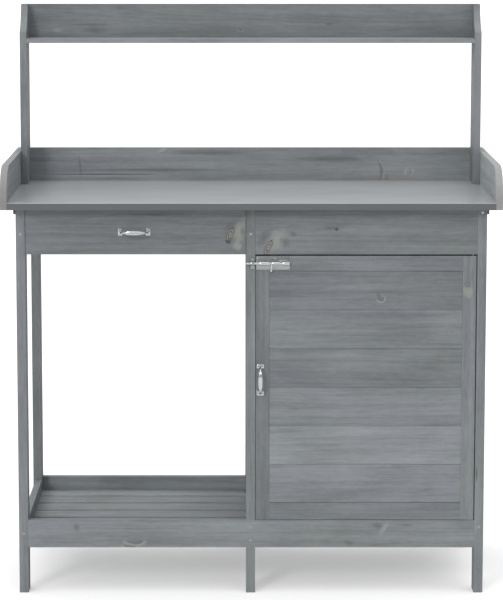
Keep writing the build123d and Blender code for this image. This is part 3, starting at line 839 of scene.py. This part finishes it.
def spread(points, axis, level):
    """Size across an axis of the points that lie at one level along it."""
    ring = [point for point in points if abs(point[axis] - level) < 0.05 * MM]
    other = (axis + 1) % 3
    places = [point[other] for point in ring]
    return max(places) - min(places)


def screw_place(points):
    """Where a screw's head is, the way its face looks, and the screw's length."""
    low = Vector(min(point[i] for point in points) for i in range(3))
    high = Vector(max(point[i] for point in points) for i in range(3))
    size = high - low
    axis = list(size).index(max(size))
    head_is_low = spread(points, axis, low[axis]) > spread(points, axis, high[axis])
    head = (low + high) / 2
    head[axis] = low[axis] if head_is_low else high[axis]
    outward = Vector((0, 0, 0))
    outward[axis] = -1 if head_is_low else 1
    return head, outward, size[axis]


def shank_below(piece, level, length):
    """Draws a shank with a point down from the face at one level."""
    with editing(piece):
        pick_faces(piece, lambda middle, normal: normal.z < -0.9 and abs(middle.z - level) < TOUCH)
        pull_out((0, 0, (POINT_SHARE - 1) * length))
        pull_out((0, 0, -POINT_SHARE * length))
        bpy.ops.transform.resize(value=(0.15, 0.15, 1), center_override=(0, 0, level - length))


def cross_recess(piece, top, reach, width, depth):
    """Cuts a crossed recess for a driver into a head's face."""
    for arm in ((reach, width), (width, reach)):
        low = (-arm[0] / 2, -arm[1] / 2, top - depth)
        cutter = block("recess", low, (arm[0] / 2, arm[1] / 2, top + depth))
        applied(piece, "BOOLEAN", object=cutter, operation="DIFFERENCE", solver="EXACT")
        bpy.data.objects.remove(cutter)


def sunk_screw(name, length):
    """A countersunk wood screw, its face at the origin and looking up."""
    piece = added(
        name, bpy.ops.mesh.primitive_cone_add, vertices=24, radius1=SUNK_NECK,
        radius2=SUNK_HEAD, depth=SUNK_DEPTH, location=(0, 0, -SUNK_DEPTH / 2))
    shank_below(piece, -SUNK_DEPTH, length - SUNK_DEPTH)
    cross_recess(piece, 0, *SUNK_CROSS)
    return piece


def pan_screw(name, length):
    """A small screw whose rounded head stands on the metal: its face at the origin and looking up."""
    piece = added(
        name, bpy.ops.mesh.primitive_cylinder_add, vertices=24, radius=PAN_HEAD,
        depth=PAN_HEIGHT, location=(0, 0, -PAN_HEIGHT / 2))
    round_edges(
        piece, lambda middle, way: middle.z > -TOUCH and abs(way.z) < 0.1,
        PAN_ROUNDING, 4, profile=0.6)
    with editing(piece):
        pick_faces(piece, lambda middle, normal: normal.z < -0.9)
        bpy.ops.mesh.inset(thickness=PAN_HEAD - PAN_NECK)
    shank_below(piece, -PAN_HEIGHT, length - PAN_HEIGHT)
    cross_recess(piece, 0, *PAN_CROSS)
    return piece


def frame_screw(name, length):
    """Short screws hold the keeper and have rounded heads; the others are sunk."""
    if length < LONGEST_PAN:
        return pan_screw(name, length)
    return sunk_screw(name, length)


def screws_for(node, make, body, material):
    """Puts a modelled screw in the place of each one of a node."""
    models = {}
    copies = []
    for turn, points in enumerate(loose_points(node)):
        head, outward, length = screw_place(points)
        key = round(length / MM)
        if key not in models:
            models[key] = make("screw", length)
        way = outward.to_track_quat("Z", "Y").to_matrix().to_4x4()
        twist = Matrix.Rotation(TURN_STEP * turn, 4, "Z")
        copies.append(placed(copied(models[key]), Matrix.Translation(head) @ way @ twist))
    for model in models.values():
        bpy.data.objects.remove(model)
    piece = joined(node + "_cut", copies)
    ready(piece, body, "screw_steel", material, node)


# ---- bow pull
ARCH = 2.8                 # how square the arch of a pull is
STATIONS = 22              # steps along the arch
PULL_HALF = 35 * MM        # half the length over both flanges
PULL_REACH = 24 * MM
PULL_SINK = 1.0 * MM       # height at which the grip starts inside a flange
FLANGE_HALF = 5 * MM
FLANGE_HALF_WIDTH = 8 * MM
FLANGE_METAL = 1.5 * MM
FLANGE_CORNER = 2.6 * MM
ROOT_RADII = (3.3 * MM, 1.9 * MM)
ROOT_HEIGHT = 2.4 * MM
ROOT_MIDDLE = 1.1 * MM     # above the flange's face


def arch_height(along, half, reach):
    """Height of the arch above its feet at a distance from its middle."""
    share = min(abs(along) / half, 1.0)
    return reach * (1 - share ** ARCH) ** (1 / ARCH)


def arch_stations(half, reach, count):
    """Places along the arch from one foot to the other, with the way it runs at each."""
    places = []
    for i in range(count + 1):
        turn = math.pi * i / count
        side, up = math.cos(turn), math.sin(turn)
        along = -half * math.copysign(abs(side) ** (2 / ARCH), side)
        places.append(Vector((along, 0, arch_height(along, half, reach) if abs(up) > 1e-6 else 0)))
    ways = [places[min(i + 1, count)] - places[max(i - 1, 0)] for i in range(count + 1)]
    return [(place, math.atan2(way.x, way.z)) for place, way in zip(places, ways)]


def grip_width(along, half, settings):
    """Width of the grip, widest in its middle."""
    share = max(0.0, 1 - (along / (0.82 * half)) ** 2)
    return settings.neck_width + (settings.grip_width - settings.neck_width) * share ** 0.75


def bow(settings, half, foot, reach):
    """The arched grip of a pull, its feet sunk into the flanges."""
    height = reach - foot - settings.grip_thick / 2
    stations = arch_stations(half, height, STATIONS)
    place, turned = stations[0]
    width = settings.grip_thick
    piece = added(
        "grip", bpy.ops.mesh.primitive_circle_add, vertices=16, radius=width / 2,
        fill_type="NGON", location=place)
    with editing(piece):
        bpy.ops.mesh.select_all(action="SELECT")
        for next_place, next_turn in stations[1:]:
            next_width = grip_width(next_place.x, half, settings)
            pull_out(next_place - place)
            bpy.ops.transform.rotate(value=turned - next_turn, orient_axis="Y", center_override=next_place)
            bpy.ops.transform.resize(value=(1, next_width / width, 1), center_override=next_place)
            place, turned, width = next_place, next_turn, next_width
        bpy.ops.mesh.select_all(action="SELECT")
        bpy.ops.mesh.normals_make_consistent(inside=False)
    crease(piece, half, height, settings.grip_thick)
    applied(piece, "SUBSURF", levels=1, render_levels=1)
    return placed(piece, Matrix.Translation((0, 0, foot)))


def crease(piece, half, height, thick):
    """Presses a shallow valley along the outside of the grip."""
    def on_ridge(point):
        outside = point.z > arch_height(point.x, half, height)
        return abs(point.y) < 0.05 * MM and outside and abs(point.x) < 0.72 * half
    with editing(piece, "VERT"):
        pick_points(piece, on_ridge)
        bpy.ops.transform.translate(value=(0, 0, -0.28 * thick))


def flange(low, high):
    """One end plate of a pull, its corners and edges rounded."""
    piece = block("flange", low, high)
    round_edges(piece, lambda middle, way: abs(way.z) > 0.9, FLANGE_CORNER, 5)
    round_edges(
        piece, lambda middle, way: abs(way.z) < 0.1 and middle.z > high[2] - TOUCH,
        0.5 * MM, 3)
    return piece


def root(along, level):
    """The flared root where the grip grows out of a flange."""
    piece = added(
        "root", bpy.ops.mesh.primitive_cone_add, vertices=24, radius1=ROOT_RADII[0],
        radius2=ROOT_RADII[1], depth=ROOT_HEIGHT, location=(along, 0, level + ROOT_MIDDLE))
    round_edges(
        piece, lambda middle, way: middle.z > level + 2 * MM and abs(way.z) < 0.1,
        0.8 * MM, 3)
    return piece


def bow_pull(settings):
    """A bow pull standing on the XY plane, its length along X."""
    inner = PULL_HALF - FLANGE_HALF
    parts = [bow(settings, inner, PULL_SINK, PULL_REACH)]
    for side in (-1, 1):
        middle = side * inner
        low = (middle - FLANGE_HALF, -FLANGE_HALF_WIDTH, 0)
        parts.append(flange(low, (middle + FLANGE_HALF, FLANGE_HALF_WIDTH, FLANGE_METAL)))
        parts.append(root(middle, FLANGE_METAL))
    return joined("pull", parts)


# ---- barrel bolt
BOLT_METAL = 1.2 * MM      # thickness of the pressed plates
PLATE_CORNER = 1.2 * MM
ROD_RADIUS = 2.9 * MM
ROD_PLAY = 0.35 * MM
STRAPS = ((7.6 * MM, 28.6 * MM), (57.6 * MM, 72.0 * MM))     # along the plate
SLOT_COVER = (35.0 * MM, 51.5 * MM)
SLOT_CLEAR = 0.3 * MM      # edge of the slot's cover above the rod's axis
ROD_TAIL = 4.0 * MM        # rod's end short of the plate's far end
KNOB_PLACE = 32.6 * MM     # along the plate
KNOB_DROP = 18.0 * MM      # end of the knob below the rod's axis
KNOB_HEIGHT = 6.0 * MM
KNOB_RADIUS = 3.0 * MM
STEM_RADIUS = 2.0 * MM


def rod_axis():
    """Y and Z of the rod's axis."""
    low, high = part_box("bolt_rod")
    keeper_low, keeper_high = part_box("bolt_keeper")
    return (low.y + high.y) / 2, (keeper_low.z + keeper_high.z) / 2


def plate(name, low, high):
    """A pressed plate on a face that looks to the front, its corners and front edge rounded."""
    piece = block(name, low, high)
    round_edges(piece, lambda middle, way: abs(way.y) > 0.9, PLATE_CORNER, 4)
    round_edges(
        piece, lambda middle, way: abs(way.y) < 0.1 and middle.y < low[1] + TOUCH,
        0.35 * MM, 2)
    return piece


def strap(start, end, face, upper_only=False):
    """A loop pressed up over the rod from one X to another; its feet end on the face of the plate."""
    y, z = rod_axis()
    outer = ROD_RADIUS + ROD_PLAY + BOLT_METAL
    piece = added(
        "strap", bpy.ops.mesh.primitive_cylinder_add, vertices=48, radius=outer,
        depth=end - start, end_fill_type="NOTHING",
        location=((start + end) / 2, y, z), rotation=(0, math.pi / 2, 0))
    with editing(piece, "EDGE"):
        bpy.ops.mesh.select_all(action="SELECT")
        bpy.ops.mesh.bisect(plane_co=(start, y, z), plane_no=(0, 1, 0), clear_outer=True)
        if upper_only:
            bpy.ops.mesh.select_all(action="SELECT")
            bpy.ops.mesh.bisect(plane_co=(start, y, z + SLOT_CLEAR), plane_no=(0, 0, 1), clear_inner=True)
        pick_edges(piece, lambda middle, way: abs(way.x) > 0.9 and abs(middle.y - y) < TOUCH)
        bpy.ops.mesh.extrude_edges_move(TRANSFORM_OT_translate={"value": (0, face - y, 0)})
        bpy.ops.mesh.select_all(action="SELECT")
        bpy.ops.mesh.remove_doubles(threshold=TOUCH)
        face_outward(piece, y, z)
    applied(piece, "SOLIDIFY", thickness=BOLT_METAL, offset=-1.0)
    applied(piece, "BEVEL", width=0.25 * MM, segments=2, limit_method="ANGLE")
    return piece


def face_outward(piece, y, z):
    """Turns every face of a loop away from the rod's axis."""
    pick_faces(piece, lambda middle, normal: normal.dot(Vector((0, middle.y - y, middle.z - z))) < 0)
    bpy.ops.mesh.flip_normals()


def bolt_plate():
    """The plate on the door."""
    low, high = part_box("bolt_plate")
    return plate("barrel_bolt", (low.x, high.y - BOLT_METAL, low.z), high)


def bolt_straps():
    """The three loops of the plate that hold the rod."""
    low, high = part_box("bolt_plate")
    face = high.y - BOLT_METAL
    parts = [strap(low.x + start, low.x + end, face) for start, end in STRAPS]
    parts.append(strap(low.x + SLOT_COVER[0], low.x + SLOT_COVER[1], face, upper_only=True))
    return joined("bolt_straps", parts)


def bolt_keeper():
    """The loop on the post that takes the rod."""
    low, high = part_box("bolt_keeper")
    face = high.y - BOLT_METAL
    parts = [plate("keeper", (low.x, face, low.z), high), strap(low.x, high.x, face)]
    return joined("keeper", parts)


def rounded_bar(name, radius, start, end, rounding):
    """A round bar from one point to another with rounded ends."""
    start, end = Vector(start), Vector(end)
    turn = (end - start).to_track_quat("Z", "Y").to_euler()
    piece = added(
        name, bpy.ops.mesh.primitive_cylinder_add, vertices=32, radius=radius,
        depth=(end - start).length, location=(start + end) / 2, rotation=turn)
    way = (end - start).normalized()
    round_edges(piece, lambda middle, run: abs(run.dot(way)) < 0.1, rounding, 4)
    return piece


def bolt_rod():
    """The sliding rod with its knob hanging down."""
    y, z = rod_axis()
    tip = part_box("bolt_rod")[0].x
    left, right = (corner.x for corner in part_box("bolt_plate"))
    knob = left + KNOB_PLACE
    low = z - KNOB_DROP
    parts = [
        rounded_bar("rod", ROD_RADIUS, (tip, y, z), (right - ROD_TAIL, y, z), 0.8 * MM),
        rounded_bar("stem", STEM_RADIUS, (knob, y, low + KNOB_HEIGHT / 2), (knob, y, z), 0.3 * MM),
        rounded_bar("knob", KNOB_RADIUS, (knob, y, low), (knob, y, low + KNOB_HEIGHT), 1.2 * MM),
    ]
    return joined("rod_and_knob", parts)


# ---- operators
class POTTING_OT_stain_boards(bpy.types.Operator):
    """Stains every board, each with its own stretch of grain"""
    bl_idname = "potting.stain_boards"
    bl_label = "Stain the boards"

    def execute(self, context):
        groups = {kind: mark_group(kind) for kind in MARK_STOPS}
        groups["fir"] = fir_group()
        settings = context.scene.potting_stain
        for number, (node, (grain, tone_and_painted_light)) in enumerate(BOARDS.items(), 1):
            finish_node(node, stain(node, grain, number, tone_and_painted_light, groups, settings))
        for turn, (node, (grain, tones_and_painted_light)) in enumerate(PLANKS.items()):
            number = FIRST_WALL + WALL_STEP * turn
            finish_node(node, stain(node, grain, number, tones_and_painted_light, groups, settings))
        panel = stain("drawer_bottom", "X", PANEL_NUMBER, PANEL_TONE, groups, settings)
        finish_node("drawer_bottom", panel)
        return {"FINISHED"}


class POTTING_OT_lay_sheet(bpy.types.Operator):
    """Finishes the coated sheet on the worktop"""
    bl_idname = "potting.lay_sheet"
    bl_label = "Finish the worktop sheet"

    def execute(self, context):
        finish_node("worktop_sheet", sheet_material(context.scene.potting_sheet))
        return {"FINISHED"}


class POTTING_OT_fit_pulls(bpy.types.Operator):
    """Models the bow pull and fits it to the drawer and the door"""
    bl_idname = "potting.fit_pulls"
    bl_label = "Fit the bow pulls"

    def execute(self, context):
        settings = context.scene.potting_metal
        model = bow_pull(settings)
        stand = Matrix.Rotation(math.radians(90), 4, "X")
        upright = Matrix.Rotation(math.radians(90), 4, "Z")
        for node, body, turn in (("drawer_handle", "drawer", Matrix()), ("door_handle", "door", upright)):
            low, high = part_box(node)
            middle = (low + high) / 2
            middle.y = high.y
            piece = placed(copied(model), Matrix.Translation(middle) @ stand @ turn)
            piece.name = body + "_bow_pull"
            ready(piece, body, "zinc", zinc(settings, "bright"), node)
        bpy.data.objects.remove(model)
        return {"FINISHED"}


class POTTING_OT_fit_bolt(bpy.types.Operator):
    """Models the barrel bolt's plate, its straps, its rod with the knob, and its keeper"""
    bl_idname = "potting.fit_bolt"
    bl_label = "Fit the barrel bolt"

    def execute(self, context):
        settings = context.scene.potting_metal
        # Plate and straps are one pressed piece: the darker zinc on the plate is painted shade, and the
        # lighter zinc on the straps is painted highlight.
        ready(bolt_plate(), "door", "zinc", zinc(settings, "dull"), "bolt_plate")
        ready(bolt_straps(), "door", "zinc", zinc(settings, "bright"))
        ready(bolt_keeper(), "bench", "zinc", zinc(settings, "dull"), "bolt_keeper")
        ready(bolt_rod(), "bolt", "zinc", zinc(settings, "bright"), "bolt_rod")
        return {"FINISHED"}


class POTTING_OT_drive_screws(bpy.types.Operator):
    """Models the screws and puts one in each screw's place"""
    bl_idname = "potting.drive_screws"
    bl_label = "Drive the screws"

    def execute(self, context):
        material = zinc(context.scene.potting_metal, "dull")
        screws_for("frame_screws", frame_screw, "bench", material)
        screws_for("drawer_screws", pan_screw, "drawer", material)
        screws_for("door_screws", pan_screw, "door", material)
        return {"FINISHED"}


class POTTING_OT_hang_door(bpy.types.Operator):
    """Finishes the door's pivot pins and their sleeves"""
    bl_idname = "potting.hang_door"
    bl_label = "Finish the pivots"

    def execute(self, context):
        material = zinc(context.scene.potting_metal, "dull")
        for node in ("pivot_pins", "door_bushes"):
            finish_node(node, material)
        return {"FINISHED"}


class POTTING_OT_set_stage(bpy.types.Operator):
    """Sets up the floor, the light and the camera"""
    bl_idname = "potting.set_stage"
    bl_label = "Set the stage"

    def execute(self, context):
        settings = context.scene.potting_stage
        lay_floor(settings)
        white_surroundings(context.scene, settings)
        bpy.ops.object.light_add(type="SUN", rotation=KEY_WAY.to_track_quat("-Z", "Y").to_euler())
        key = context.object
        key.name = "key light"
        key.data.energy = settings.key
        key.data.angle = KEY_SPREAD
        turn = (math.pi / 2 - settings.camera_tilt, 0, 0)
        bpy.ops.object.camera_add(location=settings.camera_place, rotation=turn)
        camera = context.object
        camera.data.lens = settings.lens
        camera.data.shift_x, camera.data.shift_y = settings.shift
        context.scene.camera = camera
        context.scene.view_settings.view_transform = "Standard"
        return {"FINISHED"}


def lay_floor(settings):
    """A wide pale floor with a very faint unevenness."""
    floor = added("floor", bpy.ops.mesh.primitive_plane_add, size=200)
    material, tree, shader = new_material("pale floor")
    cloud = stretched_noise(tree, object_coordinates(tree), (0.8, 0.8, 0.8))
    shade = remap(tree, cloud, 0.3, 0.7, 0.99, 1.0)
    colour = shaded(tree, tuple(settings.floor), shade)
    set_inputs(tree, shader, {
        "Base Color": colour, "Roughness": 0.9, "Specular IOR Level": 0.0,
        "Emission Color": (1, 1, 1, 1), "Emission Strength": settings.floor_glow})
    floor.data.materials.append(material)


def white_surroundings(scene, settings):
    """White light from all round, brighter overhead than at eye level."""
    world = bpy.data.worlds.new("white room")
    world.use_nodes = True
    tree = world.node_tree
    background = tree.nodes["Background"]
    direction = add_node(tree, "TexCoord").outputs["Generated"]
    height = axis_part(tree, direction, 2)
    rise = {0: height, 1: 0.0, 2: 1.0, 3: settings.horizon, 4: settings.overhead}
    light = add_node(tree, "MapRange", rise).outputs[0]
    set_inputs(tree, background, {"Color": (1, 1, 1, 1), "Strength": light})
    scene.world = world


class POTTING_PT_bench(bpy.types.Panel):
    """Lists the steps of the potting bench"""
    bl_idname = "POTTING_PT_bench"
    bl_label = "Potting bench"
    bl_space_type = "VIEW_3D"
    bl_region_type = "UI"
    bl_category = "Potting bench"

    def draw(self, context):
        for step in STEPS:
            self.layout.operator(step.bl_idname)


STEPS = (
    POTTING_OT_stain_boards,
    POTTING_OT_lay_sheet,
    POTTING_OT_fit_pulls,
    POTTING_OT_fit_bolt,
    POTTING_OT_hang_door,
    POTTING_OT_drive_screws,
    POTTING_OT_set_stage,
)
GROUPS = {
    "potting_stain": StainSettings,
    "potting_sheet": SheetSettings,
    "potting_metal": MetalSettings,
    "potting_stage": StageSettings,
}


def register():
    for group in GROUPS.values():
        bpy.utils.register_class(group)
    for name, group in GROUPS.items():
        setattr(bpy.types.Scene, name, bpy.props.PointerProperty(type=group))
    for step in STEPS:
        bpy.utils.register_class(step)
    bpy.utils.register_class(POTTING_PT_bench)


def unregister():
    bpy.utils.unregister_class(POTTING_PT_bench)
    for step in reversed(STEPS):
        bpy.utils.unregister_class(step)
    for name, group in GROUPS.items():
        delattr(bpy.types.Scene, name)
        bpy.utils.unregister_class(group)


def plain(box):
    """A box's two corners as lists of numbers."""
    return [list(corner) for corner in box]


def main():
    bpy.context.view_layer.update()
    register()
    bpy.ops.potting.stain_boards()
    bpy.ops.potting.lay_sheet()
    bpy.ops.potting.fit_pulls()
    bpy.ops.potting.fit_bolt()
    bpy.ops.potting.hang_door()
    bpy.ops.potting.drive_screws()
    bpy.ops.potting.set_stage()


if __name__ == "__main__":
    main()
